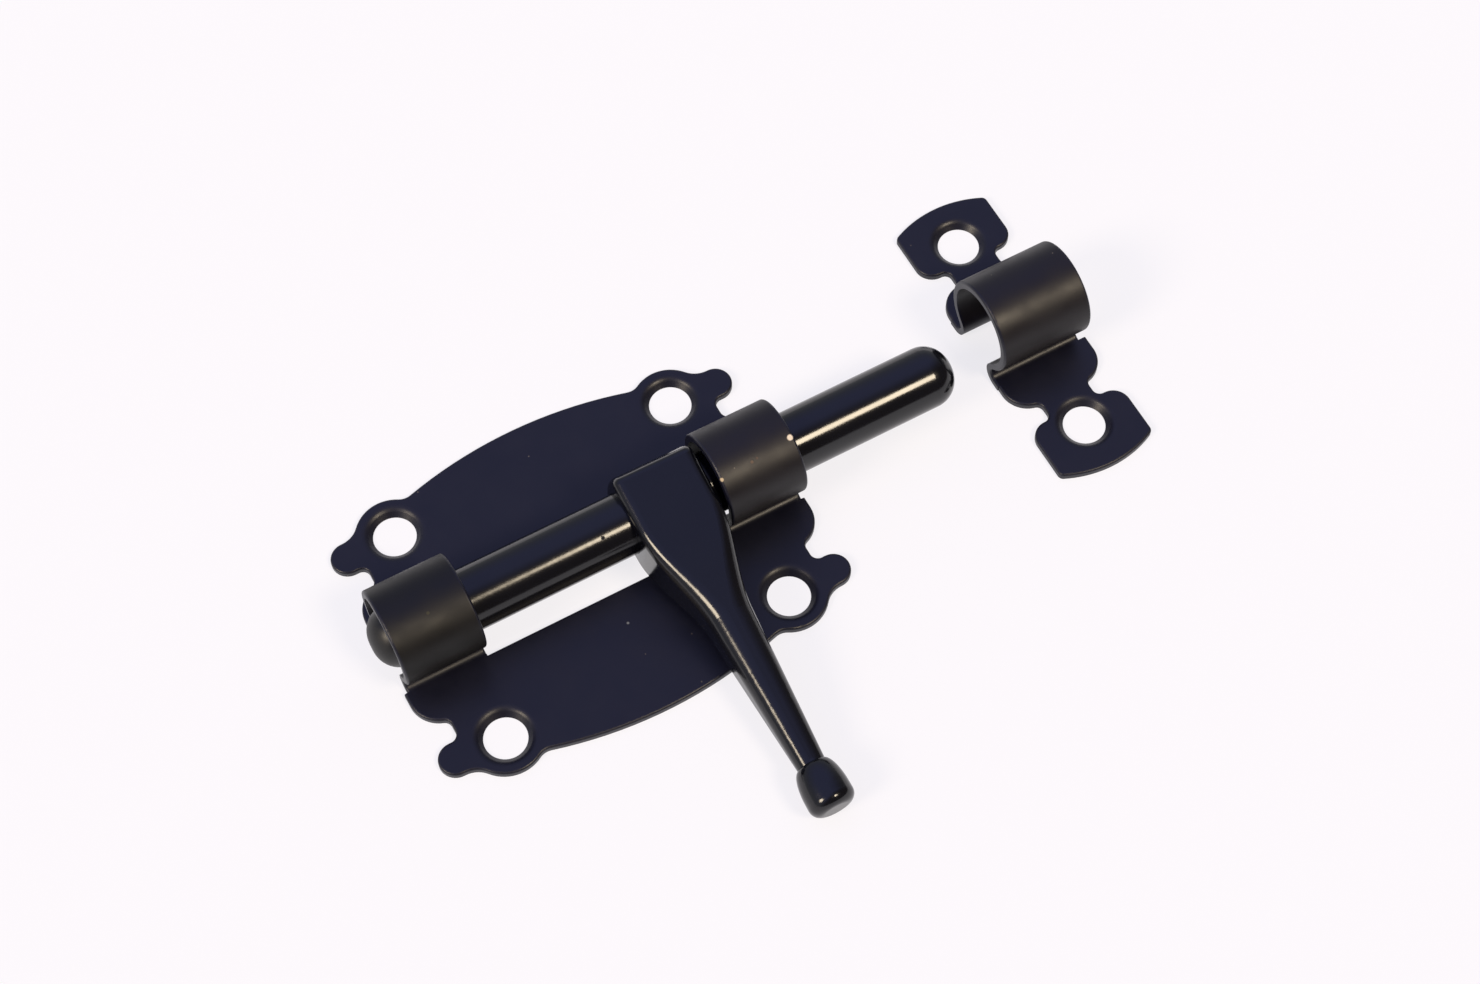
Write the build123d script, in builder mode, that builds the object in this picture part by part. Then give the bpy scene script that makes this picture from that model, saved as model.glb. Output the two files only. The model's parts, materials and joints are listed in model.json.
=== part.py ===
"""Door bolt: a stamped plate with two rolled loops, a round bolt with a cast handle, and a matching keep.

The back of the sheet lies on Z = 0, with the origin in the middle of the plate's four screw holes.
X runs along the bolt towards its tip and Y across it. Lengths are in millimetres and angles in degrees.
"""

import os
from math import asin, atan2, cos, degrees, radians, sin, sqrt

from build123d import *

# Sheet that the plate and the keep are stamped from
sheet = 1.2
sheet_edge_round = 0.4

# Screw holes, countersunk from the front
hole_diameter = 6.8
countersink_diameter = 9.0
countersink_angle = 90
countersink_round = 1.4
hole_pattern_length = 48.6
hole_pattern_width = 38.6

# Bolt rod
rod_diameter = 10.0
rod_length = 100.0
rod_axis_height = 8.5
rod_tail_overhang = 1.6
rod_tip_round = 4.3
rod_tail_round = 4.3

# Rolled loops, the same section on the plate and on the keep
loop_clearance = 1.6
rod_drop = 0.7
loop_foot_spacing = 12.0
loop_inset = 0.55

# Plate outline
plate_length = 69.2
plate_crown_width = 54.0
plate_crown_radius = 70.0
plate_shoulder_width = 25.8
lobe_radius = 6.15
ear_span = 70.1
ear_spacing = 38.0
ear_radius = 2.7
notch_span = 61.0
notch_round = 1.3
notch_flat = 0.9
saddle_round = 4.0
valley_round = 2.5

# Slot for the swing of the handle's head, with a loop at each end of it
slot_length = 41.6
slot_width = 12.7

# Handle, a casting drawn along its own axis from the rod outwards, with rounded sections
head_wall = 2.4
head_width = 13.6
head_back_wall = 1.6
head_back_bulge = 2.6
head_corner = 1.6
head_back_round = 1.2
head_loop_gap = 0.9
bore_clearance = 0.05
throat_start = 5.0
throat_end = 21.5
throat_width = 7.2
throat_corner = 3.1
tail_end = 46.8
tail_width = 4.5
tail_height = 4.2
tail_flat = 0.1
tail_set = 0.65
knob_diameter = 7.4
knob_neck_diameter = 4.3
knob_shoulder = 5.0
knob_length = 7.6
knob_edge_round = 1.7
knob_rest_gap = 0.2

# Keep, laid ahead of the bolt's tip
keep_gap = 7.8
keep_offset = 3.55
keep_strip_shift = -0.3
keep_length = 54.9
keep_width = 17.2
keep_crown_radius = 19.0
keep_corner_round = 1.0
keep_notch_span = 28.5
keep_notch_width = 3.2
keep_notch_depth = 4.3
keep_notch_round = 1.2
keep_notch_flat = 0.2
keep_loop_shift = -0.7

# Sizes that follow from the ones above
rod_radius = rod_diameter / 2
hole_x = hole_pattern_length / 2
hole_y = hole_pattern_width / 2
plate_end = plate_length / 2
slot_end = slot_length / 2
loop_width = plate_end - loop_inset - slot_end
loop_axis_height = rod_axis_height + rod_drop
loop_radius = rod_radius + loop_clearance + sheet / 2
loop_foot = loop_foot_spacing / 2
loop_rise = loop_axis_height - sheet / 2
bend_radius = (loop_foot**2 + loop_rise**2 - loop_radius**2) / (2 * (loop_radius + loop_rise))
bend_height = sheet / 2 + bend_radius
bend_turn = degrees(atan2(loop_axis_height - bend_height, loop_foot))
tiny = 0.01


def faces_out(edge):
    """Whether an edge of a loop's end is on the side of the sheet that faces out, away from the rod."""
    if edge.geom_type == GeomType.LINE:
        return edge.center().Z > sheet - tiny
    return min(abs(edge.radius - loop_radius - sheet / 2), abs(edge.radius - bend_radius + sheet / 2)) < tiny


def countersink_rim(edge):
    """Whether an edge is the wide rim of a countersink."""
    return edge.is_closed and abs(edge.radius - countersink_diameter / 2) < tiny


def loop_strip(plane, width):
    """A loop: the sheet rises from one foot, runs round the rod and comes down to the other foot."""
    with BuildPart() as strip:
        with BuildSketch(plane):
            with BuildLine():
                Line((-loop_foot - sheet, sheet / 2), (-loop_foot, sheet / 2))
                CenterArc((-loop_foot, bend_height), bend_radius, -90, 90 + bend_turn)
                CenterArc((0, loop_axis_height), loop_radius, 180 + bend_turn, -180 - 2 * bend_turn)
                CenterArc((loop_foot, bend_height), bend_radius, 180 - bend_turn, 90 + bend_turn)
                Line((loop_foot, sheet / 2), (loop_foot + sheet, sheet / 2))
            trace(line_width=sheet)
        extrude(amount=width)
        ends = strip.faces().filter_by(Axis.X).sort_by(Axis.X)
        fillet((ends[0].edges() + ends[-1].edges()).filter_by(faces_out), sheet_edge_round)
    return strip.part


# Back plate: flat blank, openings, the two loops, then the screw holes
crown_y = plate_crown_width / 2
crown_end = crown_y - plate_crown_radius + sqrt(plate_crown_radius**2 - hole_x**2)
ear_x = ear_span / 2 - ear_radius
ear_y = ear_spacing / 2
notch_height = ear_y - ear_radius - plate_shoulder_width / 2
plate_shoulder_round = (plate_length - notch_span) / 2 + notch_flat
lobe_side = sqrt(max(lobe_radius**2 - (notch_span / 2 - hole_x) ** 2, 0))
notch_room = min(ear_y - ear_radius, hole_y - lobe_side) - plate_shoulder_width / 2
notch_fillet = min(notch_round, notch_room / 2 - tiny)
tip_loop = loop_strip(Plane.YZ.offset(slot_end), loop_width)
tail_loop = loop_strip(Plane.YZ.offset(loop_inset - plate_end), loop_width)

with BuildPart() as back_plate:
    with BuildSketch() as blank:
        with BuildLine():
            far = ThreePointArc((-hole_x, crown_end), (0, crown_y), (hole_x, crown_end))
            near = ThreePointArc((-hole_x, -crown_end), (0, -crown_y), (hole_x, -crown_end))
            Line(far @ 0, near @ 0)
            Line(far @ 1, near @ 1)
        make_face()
        Rectangle(notch_span, hole_pattern_width)
        with GridLocations((notch_span + ear_span) / 2, plate_shoulder_width + notch_height, 2, 2):
            Rectangle((ear_span - notch_span) / 2, notch_height, mode=Mode.SUBTRACT)
        with GridLocations(hole_pattern_length, hole_pattern_width, 2, 2):
            Circle(lobe_radius)
        RectangleRounded(plate_length, plate_shoulder_width, plate_shoulder_round)
        with GridLocations(2 * ear_x, ear_spacing, 2, 2):
            Circle(ear_radius)
        with GridLocations(0, ear_spacing - ear_radius, 1, 2):
            Rectangle(2 * ear_x, ear_radius)
        valleys = blank.vertices().filter_by(lambda v: abs(v.X) < hole_x and abs(v.Y) > hole_y)
        fillet(valleys, valley_round)
        saddles = blank.vertices().filter_by(lambda v: hole_x < abs(v.X) < ear_x and abs(v.Y) > ear_y)
        fillet(saddles, saddle_round)
        inner = blank.vertices().filter_by(lambda v: abs(v.Y) < ear_y)
        fillet(inner.filter_by(lambda v: abs(abs(v.X) - notch_span / 2) < tiny), notch_fillet)
    extrude(amount=sheet)
    fillet(back_plate.edges().group_by(Axis.Z)[-1], sheet_edge_round)
    with BuildSketch():
        Rectangle(slot_length, slot_width)
        Rectangle(plate_length + 2 * sheet, loop_foot_spacing)
    extrude(amount=sheet, mode=Mode.SUBTRACT)
    add(tip_loop)
    add(tail_loop)
    with Locations(Plane.XY.offset(sheet)):
        with GridLocations(hole_pattern_length, hole_pattern_width, 2, 2):
            CounterSinkHole(hole_diameter / 2, countersink_diameter / 2, counter_sink_angle=countersink_angle)
    fillet(back_plate.edges().filter_by(countersink_rim), countersink_round)


# Bolt rod: a turned bar with a domed tip and a domed tail end
rod_tail_x = -plate_end - rod_tail_overhang
rod_tip_x = rod_tail_x + rod_length

with BuildPart() as bolt_rod:
    with BuildSketch(Plane.YZ.offset(rod_tail_x)):
        with Locations((0, rod_axis_height)):
            Circle(rod_radius)
    extrude(amount=rod_length)
    rims = bolt_rod.edges().filter_by(GeomType.CIRCLE).sort_by(Axis.X)
    fillet(rims[-1], rod_tip_round)
    fillet(rims[0], rod_tail_round)


# Handle: rounded sections lofted from the head to the tail, a turned knob and a bore for the rod
knob_end = tail_end + knob_length
knob_radius = knob_diameter / 2
knob_drop = rod_axis_height - knob_radius - knob_rest_gap
droop = asin(knob_drop / (knob_end - knob_edge_round))
aside = radians(tail_set)
outward = Vector(-sin(aside), -cos(droop) * cos(aside), -sin(droop) * cos(aside))
across = Vector(cos(aside), -cos(droop) * sin(aside), -sin(droop) * sin(aside))
handle_x = slot_end - head_loop_gap - head_width / 2
handle_centre = Vector(handle_x, 0, rod_axis_height)
handle_side = Plane(origin=handle_centre, x_dir=outward, z_dir=-across)
along_handle = Axis(handle_centre, outward)
head_height = rod_diameter + 2 * head_wall
head_back = rod_radius + head_back_wall
head_front = head_back_bulge - head_back
back_radius = (head_height**2 / 4 + head_back_bulge**2) / (2 * head_back_bulge)
throat_run = throat_end - throat_start
tail_slope = (tail_width - throat_width) / (tail_end - throat_end)
tail_corner = min(tail_width, tail_height) / 2 - tail_flat


def throat_width_at(part):
    """Width part of the way down the throat: an ogee, level at the head and leaning as the tail below."""
    ease = part**2 * (3 - 2 * part)
    lean = part**2 * (1 - part) * tail_slope * throat_run
    return head_width + (throat_width - head_width) * ease - lean


def handle_section(along, width, corner):
    """Rounded section of the handle at a distance from the rod's axis, with an even taper in height."""
    height = head_height + (tail_height - head_height) * (along - head_front) / (tail_end - head_front)
    with BuildSketch(Plane(origin=handle_centre + outward * along, x_dir=across, z_dir=outward)) as section:
        RectangleRounded(width, height, corner)
    return section.sketch


def throat_section(part):
    """Section part of the way down the throat, where the handle narrows and its corners grow rounder."""
    corner = head_corner + (throat_corner - head_corner) * part
    return handle_section(throat_start + part * throat_run, throat_width_at(part), corner)


head_sections = [handle_section(along, head_width, head_corner) for along in (-head_height, throat_start)]
throat_sections = [throat_section(step / 6) for step in range(7)]
tail_sections = [throat_section(1), handle_section(tail_end, tail_width, tail_corner)]

with BuildPart() as handle:
    loft(head_sections, ruled=True)
    loft(throat_sections)
    loft(tail_sections, ruled=True)
    with BuildSketch(handle_side.offset(-head_width)):
        with BuildLine():
            back = CenterArc((back_radius - head_back, 0), back_radius, 135, 90)
            Polyline(back @ 0, (knob_end, head_height), (knob_end, -head_height), back @ 1)
        make_face()
    extrude(amount=2 * head_width, mode=Mode.INTERSECT)
    fillet(handle.faces().sort_by(along_handle)[0].edges(), head_back_round)
    with BuildSketch(handle_side) as knob_half:
        with BuildLine():
            shoulder = EllipticalCenterArc(
                (tail_end + knob_shoulder, knob_neck_diameter / 2),
                knob_shoulder,
                knob_radius - knob_neck_diameter / 2,
                start_angle=90,
                arc_size=90,
            )
            Polyline(
                shoulder @ 1,
                (tail_end - tail_height, knob_neck_diameter / 2),
                (tail_end - tail_height, 0),
                (knob_end, 0),
                (knob_end, knob_radius),
                shoulder @ 0,
            )
        make_face()
        fillet(knob_half.vertices().group_by(Axis.X)[-1].sort_by(Axis.Y)[-1], knob_edge_round)
    revolve(axis=along_handle)
    with BuildSketch(Plane.YZ.offset(handle_x)):
        with Locations((0, rod_axis_height)):
            Circle(rod_radius + bore_clearance)
    extrude(amount=head_width, both=True, mode=Mode.SUBTRACT)


# Keep: a waisted strip with a crowned lobe at each end and a loop across the middle
keep_side = keep_width / 2
keep_x = rod_tip_x + keep_gap + keep_side
keep_end = keep_length / 2
keep_corner = keep_end - keep_crown_radius + sqrt(keep_crown_radius**2 - keep_side**2)
lobe_start = (keep_notch_span + keep_notch_width) / 2
shoulder_end = (keep_notch_span - keep_notch_width) / 2
keep_neck_width = keep_width - 2 * keep_notch_depth
keep_lobe_round = keep_notch_depth - keep_notch_round - keep_notch_flat
keep_shoulder_round = keep_notch_depth + keep_notch_flat
keep_base = Plane(origin=(keep_x, keep_offset, 0))
keep_strip_base = Plane(origin=(keep_x, keep_offset + keep_strip_shift, 0))
keep_loop_width = keep_width - 2 * loop_inset
keep_loop_x = keep_x + keep_loop_shift - keep_loop_width / 2
keep_loop_base = Plane((keep_loop_x, keep_offset, 0), x_dir=(0, 1, 0), z_dir=(1, 0, 0))
keep_loop = loop_strip(keep_loop_base, keep_loop_width)

with BuildPart() as keep:
    with BuildSketch(keep_strip_base) as strip:
        with BuildLine():
            far = ThreePointArc((-keep_side, keep_corner), (0, keep_end), (keep_side, keep_corner))
            Polyline(far @ 1, (keep_side, lobe_start), (-keep_side, lobe_start), far @ 0)
        make_face()
        fillet(strip.vertices().group_by(Axis.Y)[0], keep_lobe_round)
        fillet(strip.vertices().group_by(Axis.Y)[-1], keep_corner_round)
        mirror(about=Plane.XZ)
        RectangleRounded(keep_width, 2 * shoulder_end, keep_shoulder_round)
        Rectangle(keep_neck_width, 2 * lobe_start)
        notches = strip.vertices().filter_by(lambda v: abs(abs(v.X) - keep_neck_width / 2) < tiny)
        fillet(notches, keep_notch_round)
    extrude(amount=sheet)
    fillet(keep.edges().group_by(Axis.Z)[-1], sheet_edge_round)
    with BuildSketch(keep_base):
        Rectangle(keep_width, loop_foot_spacing)
    extrude(amount=sheet, mode=Mode.SUBTRACT)
    add(keep_loop)
    with Locations(keep_base.offset(sheet)):
        with GridLocations(0, hole_pattern_width, 1, 2):
            CounterSinkHole(hole_diameter / 2, countersink_diameter / 2, counter_sink_angle=countersink_angle)
    fillet(keep.edges().filter_by(countersink_rim), countersink_round)


os.makedirs("parts", exist_ok=True)
for name, piece in {"back_plate": back_plate, "bolt_rod": bolt_rod, "handle": handle, "keep": keep}.items():
    piece.part.label = name
    export_step(piece.part, f"parts/{name}.step")
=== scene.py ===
"""Door bolt with its keep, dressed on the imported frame: stoved paint, white table, soft light, camera."""

import json
import logging
from dataclasses import dataclass, replace
from enum import Enum
from typing import Any

import bpy
import numpy as np
from mathutils import Matrix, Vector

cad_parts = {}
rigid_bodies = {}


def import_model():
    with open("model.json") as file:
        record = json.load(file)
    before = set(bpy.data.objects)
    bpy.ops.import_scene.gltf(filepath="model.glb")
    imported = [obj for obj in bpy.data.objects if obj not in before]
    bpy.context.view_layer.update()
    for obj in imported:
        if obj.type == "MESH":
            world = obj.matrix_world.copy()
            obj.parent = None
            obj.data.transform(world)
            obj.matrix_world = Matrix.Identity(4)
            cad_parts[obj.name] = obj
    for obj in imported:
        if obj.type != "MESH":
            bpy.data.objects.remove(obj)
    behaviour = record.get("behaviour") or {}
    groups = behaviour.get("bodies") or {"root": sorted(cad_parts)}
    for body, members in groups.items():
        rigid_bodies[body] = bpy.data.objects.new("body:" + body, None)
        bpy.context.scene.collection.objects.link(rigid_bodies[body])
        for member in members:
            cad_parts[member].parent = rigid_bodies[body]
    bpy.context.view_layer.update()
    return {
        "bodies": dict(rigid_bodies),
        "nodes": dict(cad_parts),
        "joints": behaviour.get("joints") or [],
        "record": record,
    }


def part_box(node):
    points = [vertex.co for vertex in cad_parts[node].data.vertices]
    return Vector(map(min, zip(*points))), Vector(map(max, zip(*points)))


log = logging.getLogger("door_bolt")

IMAGE_WIDTH = 1480
MM = 0.001


class Body(Enum):
    """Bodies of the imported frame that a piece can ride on."""

    PLATE = "plate"
    ROD = "rod"
    HANDLE = "handle"


def linear(colour: str) -> tuple[float, float, float, float]:
    """Turn an sRGB hex colour into linear light.

    Args:
        colour: Six hex digits after a hash sign.

    Returns:
        Linear red, green and blue, with an alpha of 1.
    """
    srgb = np.array([int(colour[i : i + 2], 16) for i in (1, 3, 5)]) / 255.0
    light = np.where(srgb <= 0.04045, srgb / 12.92, ((srgb + 0.055) / 1.055) ** 2.4)
    return (*(float(c) for c in light), 1.0)


def per_metre(size_mm: float) -> float:
    """Texture scale whose pattern repeats about every size_mm on Object coordinates in metres."""
    return 1.0 / (size_mm * MM)


def add_node(
    tree: bpy.types.NodeTree, kind: str, inputs: dict[Any, Any] | None = None, **settings: Any
) -> Any:
    """Add a shader node with its settings, its constants and its links.

    Args:
        tree: Node tree that takes the node.
        kind: Blender's type name of the node.
        inputs: Socket name or number to a constant, or to the output socket that feeds it.
        settings: Attributes set on the node itself.

    Returns:
        The new node.
    """
    node = tree.nodes.new(kind)
    for name, value in settings.items():
        setattr(node, name, value)
    for socket, value in (inputs or {}).items():
        if isinstance(value, bpy.types.NodeSocket):
            tree.links.new(value, node.inputs[socket])
        else:
            node.inputs[socket].default_value = value
    return node


@dataclass(frozen=True)
class DullSkin:
    """Duller, dustier paint on one rolled loop, which stands above the flat sheet and has glossier rims.

    The eye gets a broad, dim, brownish highlight on the loop, and sharper lines on the sheet, its bends
    and the rims. Its colour is dust, and on a loop that gets less light it is painted shade as well.
    """

    ends_mm: tuple[float, float]
    dust_and_shade_colour: str = "#120f14"
    gloss_roughness: float = 0.39
    dull_roughness: float = 0.51
    start_mm: float = 2.4
    full_mm: float = 4.6
    rim_mm: float = 0.5

    def mask(self, tree: bpy.types.NodeTree, place: bpy.types.NodeSocket) -> bpy.types.NodeSocket:
        """Find the loop's skin: all above the sheet between its ends, apart from a band along each rim.

        Args:
            tree: Node tree of the paint.
            place: Object coordinates, in metres.

        Returns:
            A socket that is 1 on the loop's skin and 0 elsewhere.
        """
        part = add_node(tree, "ShaderNodeSeparateXYZ", {0: place}).outputs
        skin = add_node(
            tree, "ShaderNodeMapRange", {0: part["Z"], 1: self.start_mm * MM, 2: self.full_mm * MM}
        ).outputs[0]
        for end, inwards in zip(self.ends_mm, (self.rim_mm, -self.rim_mm)):
            inside = add_node(
                tree,
                "ShaderNodeMapRange",
                {0: part["X"], 1: (end + inwards / 2) * MM, 2: (end + inwards) * MM},
            )
            skin = add_node(
                tree, "ShaderNodeMath", {0: skin, 1: inside.outputs[0]}, operation="MULTIPLY"
            ).outputs[0]
        return skin


@dataclass(frozen=True)
class Mark:
    """Round mark at one place of the paint, duller than the rest: a grain of dust, a chip, a rub, a painted
    highlight or painted shade.
    """

    centre_mm: tuple[float, float, float]
    size_mm: float
    colour: str
    roughness: float = 0.8

    def mask(self, tree: bpy.types.NodeTree, place: bpy.types.NodeSocket) -> bpy.types.NodeSocket:
        """Find the mark, which is whole out to a third of its size and fades out at half of it.

        Args:
            tree: Node tree of the paint.
            place: Object coordinates, in metres.

        Returns:
            A socket that is 1 on the mark and 0 elsewhere.
        """
        centre = tuple(c * MM for c in self.centre_mm)
        away = add_node(tree, "ShaderNodeVectorMath", {0: place, 1: centre}, operation="DISTANCE")
        size = self.size_mm * MM
        return add_node(
            tree, "ShaderNodeMapRange", {0: away.outputs["Value"], 1: size / 2, 2: size / 3, 3: 0.0, 4: 1.0}
        ).outputs[0]


# Most of the noise texture's values lie between these two.
NOISE_LOW, NOISE_HIGH = 0.3, 0.7


@dataclass(frozen=True)
class StovedEnamel:
    """Black stoving enamel, sprayed and baked on steel.

    The eye gets a deep blue-black with a clear film over it, a faint orange peel from the spray, slow
    changes of gloss where the film lies thicker or thinner, and a few specks of dust on top.
    """

    name: str
    colour: str
    thin_colour: str
    gloss_roughness: float
    dull_roughness: float
    ior: float
    peel_mm: float
    peel_depth_mm: float
    cloud_mm: float
    speck_spacing_mm: float
    speck_mm: float
    speck_share: float
    speck_colour: str
    cloud_detail: float = 3.0
    cloud_fine_share: float = 0.55
    peel_detail: float = 1.0
    skins: tuple[DullSkin, ...] = ()
    marks: tuple[Mark, ...] = ()

    def film(self, tree: bpy.types.NodeTree, place: bpy.types.NodeSocket) -> bpy.types.NodeSocket:
        """Let the film's thickness change slowly over the surface.

        Args:
            tree: Node tree of the paint.
            place: Object coordinates, in metres.

        Returns:
            Slow noise, low where the film is thick and high where it is thin.
        """
        return add_node(
            tree,
            "ShaderNodeTexNoise",
            {
                "Vector": place,
                "Scale": per_metre(self.cloud_mm),
                "Detail": self.cloud_detail,
                "Roughness": self.cloud_fine_share,
            },
        ).outputs["Fac"]

    def roughness(
        self, tree: bpy.types.NodeTree, film: bpy.types.NodeSocket, glossy: float, dull: float
    ) -> bpy.types.NodeSocket:
        """Let the roughness follow the film, from glossy where it is thick to dull where it is thin.

        Args:
            tree: Node tree of the paint.
            film: What film() gave.
            glossy: Roughness of the thick film.
            dull: Roughness of the thin film.

        Returns:
            The roughness.
        """
        return add_node(
            tree, "ShaderNodeMapRange", {0: film, 1: NOISE_LOW, 2: NOISE_HIGH, 3: glossy, 4: dull}
        ).outputs[0]

    def specks(self, tree: bpy.types.NodeTree, place: bpy.types.NodeSocket) -> bpy.types.NodeSocket:
        """Scatter small round specks: some of the cells of a Voronoi pattern have one at their point.

        Args:
            tree: Node tree of the paint.
            place: Object coordinates, in metres.

        Returns:
            A socket that is 1 on a speck and 0 elsewhere.
        """
        cells = add_node(
            tree, "ShaderNodeTexVoronoi", {"Vector": place, "Scale": per_metre(self.speck_spacing_mm)}
        ).outputs
        radius = self.speck_mm / self.speck_spacing_mm / 2
        near = add_node(tree, "ShaderNodeMath", {0: cells["Distance"], 1: radius}, operation="LESS_THAN")
        draw = add_node(tree, "ShaderNodeSeparateColor", {0: cells["Color"]}).outputs["Red"]
        chosen = add_node(tree, "ShaderNodeMath", {0: draw, 1: self.speck_share}, operation="LESS_THAN")
        return add_node(
            tree, "ShaderNodeMath", {0: near.outputs[0], 1: chosen.outputs[0]}, operation="MULTIPLY"
        ).outputs[0]

    def orange_peel(self, tree: bpy.types.NodeTree, place: bpy.types.NodeSocket) -> bpy.types.NodeSocket:
        """Let the surface heave a little, as sprayed paint does.

        Args:
            tree: Node tree of the paint.
            place: Object coordinates, in metres.

        Returns:
            The bumped normal.
        """
        heave = add_node(
            tree,
            "ShaderNodeTexNoise",
            {"Vector": place, "Scale": per_metre(self.peel_mm), "Detail": self.peel_detail},
        )
        return add_node(
            tree,
            "ShaderNodeBump",
            {"Height": heave.outputs["Fac"], "Strength": 1.0, "Distance": self.peel_depth_mm * MM},
        ).outputs["Normal"]

    def material(self) -> bpy.types.Material:
        """Build the paint's node tree: the film, the loops' skins over it, then the specks and the marks.

        Returns:
            The material, which reads Object coordinates only.
        """
        paint = bpy.data.materials.new(self.name)
        paint.use_nodes = True
        tree = paint.node_tree
        tree.nodes.clear()
        place = add_node(tree, "ShaderNodeTexCoord").outputs["Object"]
        film = self.film(tree, place)
        colour = add_node(
            tree,
            "ShaderNodeMix",
            {0: film, 6: linear(self.colour), 7: linear(self.thin_colour)},
            data_type="RGBA",
        ).outputs[2]
        rough = self.roughness(tree, film, self.gloss_roughness, self.dull_roughness)
        covers: list[tuple[Any, str, Any]] = []
        for skin in self.skins:
            dull = self.roughness(tree, film, skin.gloss_roughness, skin.dull_roughness)
            covers.append((skin.mask(tree, place), skin.dust_and_shade_colour, dull))
        covers.append((self.specks(tree, place), self.speck_colour, None))
        covers += [(mark.mask(tree, place), mark.colour, mark.roughness) for mark in self.marks]
        for mask, cover_colour, cover_rough in covers:
            colour = add_node(
                tree, "ShaderNodeMix", {0: mask, 6: colour, 7: linear(cover_colour)}, data_type="RGBA"
            ).outputs[2]
            if cover_rough is not None:
                rough = add_node(
                    tree, "ShaderNodeMix", {0: mask, 2: rough, 3: cover_rough}, data_type="FLOAT"
                ).outputs[0]
        shader = add_node(
            tree,
            "ShaderNodeBsdfPrincipled",
            {
                "Base Color": colour,
                "Roughness": rough,
                "IOR": self.ior,
                "Normal": self.orange_peel(tree, place),
            },
        )
        add_node(tree, "ShaderNodeOutputMaterial", {"Surface": shader.outputs[0]})
        return paint


# Thin satin coat on stamped sheet steel: the eye gets soft highlights, and a blue-black that stays dark on
# the flats.
SATIN = StovedEnamel(
    name="satin_black_stoving_enamel",
    colour="#0d0e1b",
    thin_colour="#131424",
    gloss_roughness=0.36,
    dull_roughness=0.44,
    ior=1.45,
    peel_mm=0.9,
    peel_depth_mm=0.004,
    cloud_mm=5.0,
    speck_spacing_mm=2.6,
    speck_mm=0.24,
    speck_share=0.12,
    speck_colour="#5c564e",
)
# Thicker gloss coat on the turned bar and the casting: the eye gets bright, fairly sharp lines of light
# on black.
GLOSS = StovedEnamel(
    name="gloss_black_stoving_enamel",
    colour="#07080d",
    thin_colour="#0b0c13",
    gloss_roughness=0.12,
    dull_roughness=0.19,
    ior=1.5,
    peel_mm=1.4,
    peel_depth_mm=0.006,
    cloud_mm=14.0,
    speck_spacing_mm=4.0,
    speck_mm=0.24,
    speck_share=0.2,
    speck_colour="#4c4a48",
)


@dataclass
class PaintedSteel:
    """Steel pieces that keep the frame's shapes and get their paint."""

    def coat(self, frame: dict[str, Any], node: str, body: Body, paint: bpy.types.Material) -> None:
        """Put the paint on one solid.

        Args:
            node: Name of the solid.
            body: Body that the solid rides on.
            paint: Its paint.
        """
        mesh = frame["nodes"][node].data
        mesh.materials.clear()
        mesh.materials.append(paint)
        low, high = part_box(node)
        size = [round((b - a) / MM, 1) for a, b in zip(low, high)]
        log.info("%s on %s: %s mm, %s", node, body.value, size, paint.name)


@dataclass
class BoltPlate(PaintedSteel):
    """Stamped plate that is screwed to the door, with a rolled loop at each end of its slot.

    The tail loop, which comes first, is duller than the tip loop, and is painted darker as painted
    shade, because less light reaches that end.
    """

    skins: tuple[DullSkin, ...] = (
        # Painted shade: the tail loop's darker colour stands in for the lesser light that reaches that end.
        DullSkin((-34.05, -20.8), dust_and_shade_colour="#030203", gloss_roughness=0.44, dull_roughness=0.56),
        DullSkin((20.8, 34.05)),
    )
    marks: tuple[Mark, ...] = (
        # Painted highlights: the key lamp's glints on the tip loop's right and left rims, in pale cream.
        Mark((33.45, -2.90, 16.42), 1.1, "#f0e2c8"),
        Mark((21.05, -4.00, 15.85), 0.7, "#c8b490"),
        # Specks of dust on the loops and on the plate.
        Mark((26.44, -3.64, 16.09), 0.55, "#6a5a4a"),
        Mark((27.41, -3.46, 16.18), 0.45, "#5a4c40"),
        Mark((-27.31, -2.85, 16.45), 0.6, "#3c3a2c"),
        Mark((0.32, -11.83, 1.20), 0.5, "#6c7074"),
    )

    def dress(self, frame: dict[str, Any]) -> None:
        """Paint the plate, with its duller loops and its marks.
        """
        paint = replace(SATIN, name=f"{SATIN.name}_on_plate", skins=self.skins, marks=self.marks)
        self.coat(frame, "back_plate", Body.PLATE, paint.material())


@dataclass
class LeverBolt(PaintedSteel):
    """Round bolt that slides in the plate's loops, and the cast lever that moves it.

    The bolt has a small dull spot beside the lever, and its tail end is dull all over and painted
    darker, as painted shade where the tail loop shadows it.
    """

    marks: tuple[Mark, ...] = (
        Mark((1.47, -2.59, 12.77), 0.7, "#0b0c10"),
        # Painted shade on the tail end's dome, which the tail loop shadows; the dome is also duller.
        Mark((-36.2, 0.0, 8.5), 13.0, "#060605", roughness=0.5),
    )

    def dress(self, frame: dict[str, Any]) -> None:
        """Paint the bar and the lever from the same pot.
        """
        paint = replace(GLOSS, marks=self.marks).material()
        self.coat(frame, "bolt_rod", Body.ROD, paint)
        self.coat(frame, "handle", Body.HANDLE, paint)


@dataclass
class Keep(PaintedSteel):
    """Stamped strip that is screwed to the door frame, with one rolled loop for the bolt's tip."""

    skins: tuple[DullSkin, ...] = (DullSkin((71.45, 87.55)),)

    def dress(self, frame: dict[str, Any]) -> None:
        """Paint the keep, with its duller loop.
        """
        paint = replace(SATIN, name=f"{SATIN.name}_on_keep", skins=self.skins)
        self.coat(frame, "keep", Body.PLATE, paint.material())


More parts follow.
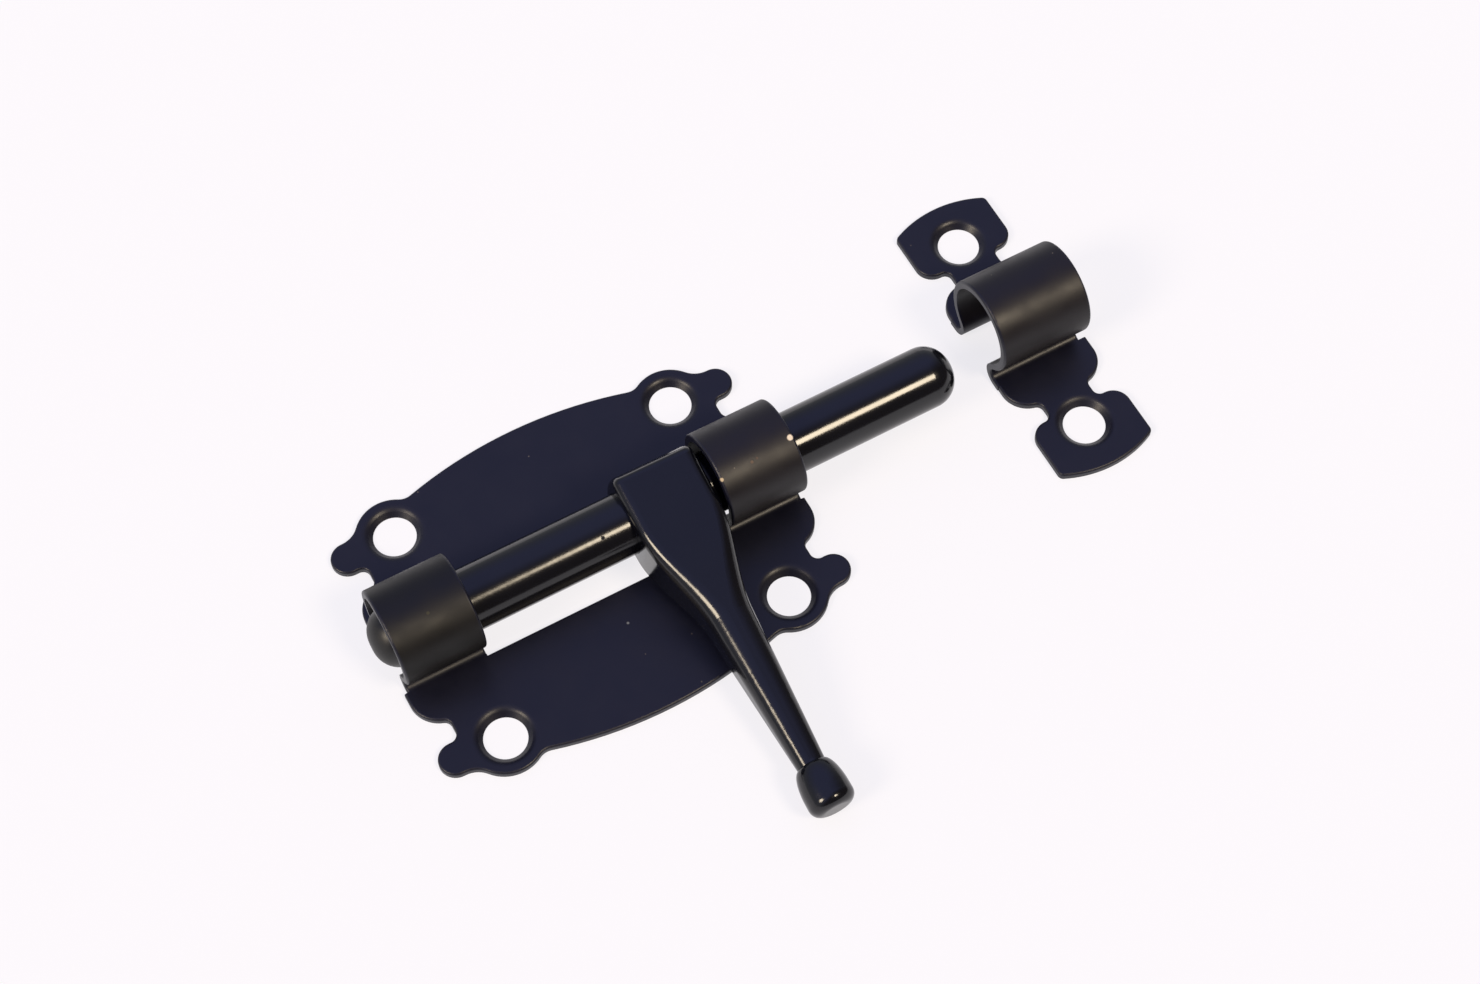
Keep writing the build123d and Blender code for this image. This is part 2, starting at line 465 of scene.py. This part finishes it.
@dataclass(frozen=True)
class WhiteLaminate:
    """White laminate of the table top.

    The eye gets an even, faintly cool white. A share of it glows for what the eye sees straight or in a
    gloss, as on an overexposed sheet, so that the shadows stay on it but are pale.
    """

    name: str = "white_laminate"
    colour: str = "#fdfbfe"
    glow_share: float = 0.80

    def material(self) -> bpy.types.Material:
        """Build the laminate's node tree.

        Returns:
            The material, matt white with a glow for camera, glossy and transmission rays.
        """
        laminate = bpy.data.materials.new(self.name)
        laminate.use_nodes = True
        tree = laminate.node_tree
        tree.nodes.clear()
        ray = add_node(tree, "ShaderNodeLightPath").outputs
        seen = ray["Is Camera Ray"]
        for kind in ("Is Glossy Ray", "Is Transmission Ray"):
            seen = add_node(tree, "ShaderNodeMath", {0: seen, 1: ray[kind]}, operation="MAXIMUM").outputs[0]
        share = add_node(tree, "ShaderNodeMath", {0: seen, 1: self.glow_share}, operation="MULTIPLY")
        matt = add_node(tree, "ShaderNodeBsdfDiffuse", {"Color": linear(self.colour)})
        glow = add_node(tree, "ShaderNodeEmission", {"Color": linear(self.colour), "Strength": 1.0})
        both = add_node(
            tree, "ShaderNodeMixShader", {0: share.outputs[0], 1: matt.outputs[0], 2: glow.outputs[0]}
        )
        add_node(tree, "ShaderNodeOutputMaterial", {"Surface": both.outputs[0]})
        return laminate


@dataclass
class WhiteTable:
    """White laminated table top that the set lies on, a hair below it."""

    finish: WhiteLaminate
    half_side: float = 3.0
    below: float = 0.00004
    points_a_side: int = 3

    def build(self) -> bpy.types.Object:
        """Make the table top, a flat patch: u and v run from side to side, at one height all over.

        Returns:
            The stage object.
        """
        n = self.points_a_side
        across = np.linspace(-self.half_side, self.half_side, n)
        u, v = np.meshgrid(across, across, indexing="ij")
        points = np.stack([u, v, np.full_like(u, -self.below)], axis=-1).reshape(-1, 3)
        i, j = np.meshgrid(np.arange(n - 1), np.arange(n - 1), indexing="ij")
        corner = (n * i + j).ravel()
        quads = np.stack([corner, corner + n, corner + n + 1, corner + 1], axis=1)
        mesh = bpy.data.meshes.new("table_top")
        mesh.from_pydata(points.tolist(), [], quads.tolist())
        mesh.materials.append(self.finish.material())
        table = bpy.data.objects.new("table_top", mesh)
        bpy.context.collection.objects.link(table)
        return table


@dataclass(frozen=True)
class SoftLamp:
    """Distant soft lamp: a round source seen under an angle, from one direction."""

    name: str
    towards: tuple[float, float, float]
    colour: str
    irradiance: float
    angle_deg: float

    def build(self) -> bpy.types.Object:
        """Place the lamp so that it shines along minus its direction.

        Returns:
            The lamp object.
        """
        light = bpy.data.lights.new(self.name, "SUN")
        light.energy = self.irradiance
        light.angle = float(np.radians(self.angle_deg))
        light.color = linear(self.colour)[:3]
        lamp = bpy.data.objects.new(self.name, light)
        back = np.array(self.towards) / np.linalg.norm(self.towards)
        right = np.cross((0.0, 0.0, 1.0), back)
        right /= np.linalg.norm(right)
        turn = np.eye(4)
        turn[:3, :3] = np.stack([right, np.cross(back, right), back], axis=1)
        lamp.matrix_world = Matrix(turn.tolist())
        bpy.context.collection.objects.link(lamp)
        return lamp


@dataclass(frozen=True)
class RoomLight:
    """Soft light from the room: a cool ceiling, pale low walls, and a dim warm side behind the camera."""

    wall_colour: str = "#b4b6bc"
    middle_colour: str = "#a2a6bc"
    ceiling_colour: str = "#a4abe6"
    dim_colour: str = "#605856"
    wall_top: float = 0.12
    middle: float = 0.40
    ceiling: float = 0.80
    bright_side: tuple[float, float, float] = (-0.5, 0.87, 0.0)
    dim_from: float = 0.10
    dim_full: float = -0.55
    strength: float = 1.0

    def build(self) -> None:
        """Set the world's background: a ramp over the height, dimmed on the side away from bright_side."""
        world = bpy.data.worlds.new("room_light")
        world.use_nodes = True
        tree = world.node_tree
        tree.nodes.clear()
        way = add_node(tree, "ShaderNodeTexCoord").outputs["Generated"]
        part = add_node(tree, "ShaderNodeSeparateXYZ", {0: way}).outputs
        height = add_node(tree, "ShaderNodeValToRGB", {0: part["Z"]})
        ramp = height.color_ramp.elements
        ramp[0].color, ramp[1].color = linear(self.wall_colour), linear(self.ceiling_colour)
        ramp[0].position, ramp[1].position = self.wall_top, self.ceiling
        ramp.new(self.middle).color = linear(self.middle_colour)
        across = add_node(
            tree, "ShaderNodeVectorMath", {0: way, 1: self.bright_side}, operation="DOT_PRODUCT"
        )
        side = add_node(
            tree,
            "ShaderNodeMapRange",
            {0: across.outputs["Value"], 1: self.dim_from, 2: self.dim_full, 3: 0.0, 4: 1.0},
            interpolation_type="SMOOTHSTEP",
        )
        shade = add_node(
            tree,
            "ShaderNodeMix",
            {0: side.outputs[0], 6: height.outputs["Color"], 7: linear(self.dim_colour)},
            data_type="RGBA",
        )
        glow = add_node(
            tree, "ShaderNodeBackground", {"Color": shade.outputs[2], "Strength": self.strength}
        )
        add_node(tree, "ShaderNodeOutputWorld", {"Surface": glow.outputs[0]})
        bpy.context.scene.world = world


@dataclass(frozen=True)
class Viewpoint:
    """Camera above the handle's side, looking down at the set."""

    position: tuple[float, float, float] = (-0.065606, -0.16745, 0.360423)
    right: tuple[float, float, float] = (0.875134, -0.483879, -0.001503)
    down: tuple[float, float, float] = (-0.42802, -0.772652, -0.468836)
    ahead: tuple[float, float, float] = (0.225698, 0.410938, -0.883284)
    focal_pixels: float = 2600.0
    sensor_mm: float = 36.0
    nearest: float = 0.01

    def build(self) -> bpy.types.Object:
        """Make the scene's camera.

        Returns:
            The camera object.
        """
        lens = bpy.data.cameras.new("viewpoint")
        lens.sensor_fit = "HORIZONTAL"
        lens.sensor_width = self.sensor_mm
        lens.lens = self.focal_pixels / IMAGE_WIDTH * self.sensor_mm
        lens.clip_start = self.nearest
        camera = bpy.data.objects.new("viewpoint", lens)
        place = np.eye(4)
        place[:3, :3] = np.stack([self.right, -np.array(self.down), -np.array(self.ahead)], axis=1)
        place[:3, 3] = self.position
        camera.matrix_world = Matrix(place.tolist())
        bpy.context.collection.objects.link(camera)
        bpy.context.scene.camera = camera
        return camera


# Large softbox to the right of the camera: the bright line on the bar and the brown one on the loops.
KEY_LAMP = SoftLamp("key_softbox", (0.28, -0.56, 0.79), "#ffedd0", 1.66, 16.0)
# Softbox on the left: the line along the lever's edge.
SIDE_LAMP = SoftLamp("side_softbox", (-0.78, -0.11, 0.60), "#ffedd0", 1.7, 19.0)


def main() -> None:
    """Load the frame, paint its solids and set the stage round them."""
    logging.basicConfig(level=logging.INFO, format="%(message)s")
    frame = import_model()
    for assembly in (BoltPlate(), LeverBolt(), Keep()):
        assembly.dress(frame)
    Viewpoint().build()
    WhiteTable(WhiteLaminate()).build()
    RoomLight().build()
    for lamp in (KEY_LAMP, SIDE_LAMP):
        lamp.build()
    bpy.context.scene.view_settings.view_transform = "Standard"


if __name__ == "__main__":
    main()
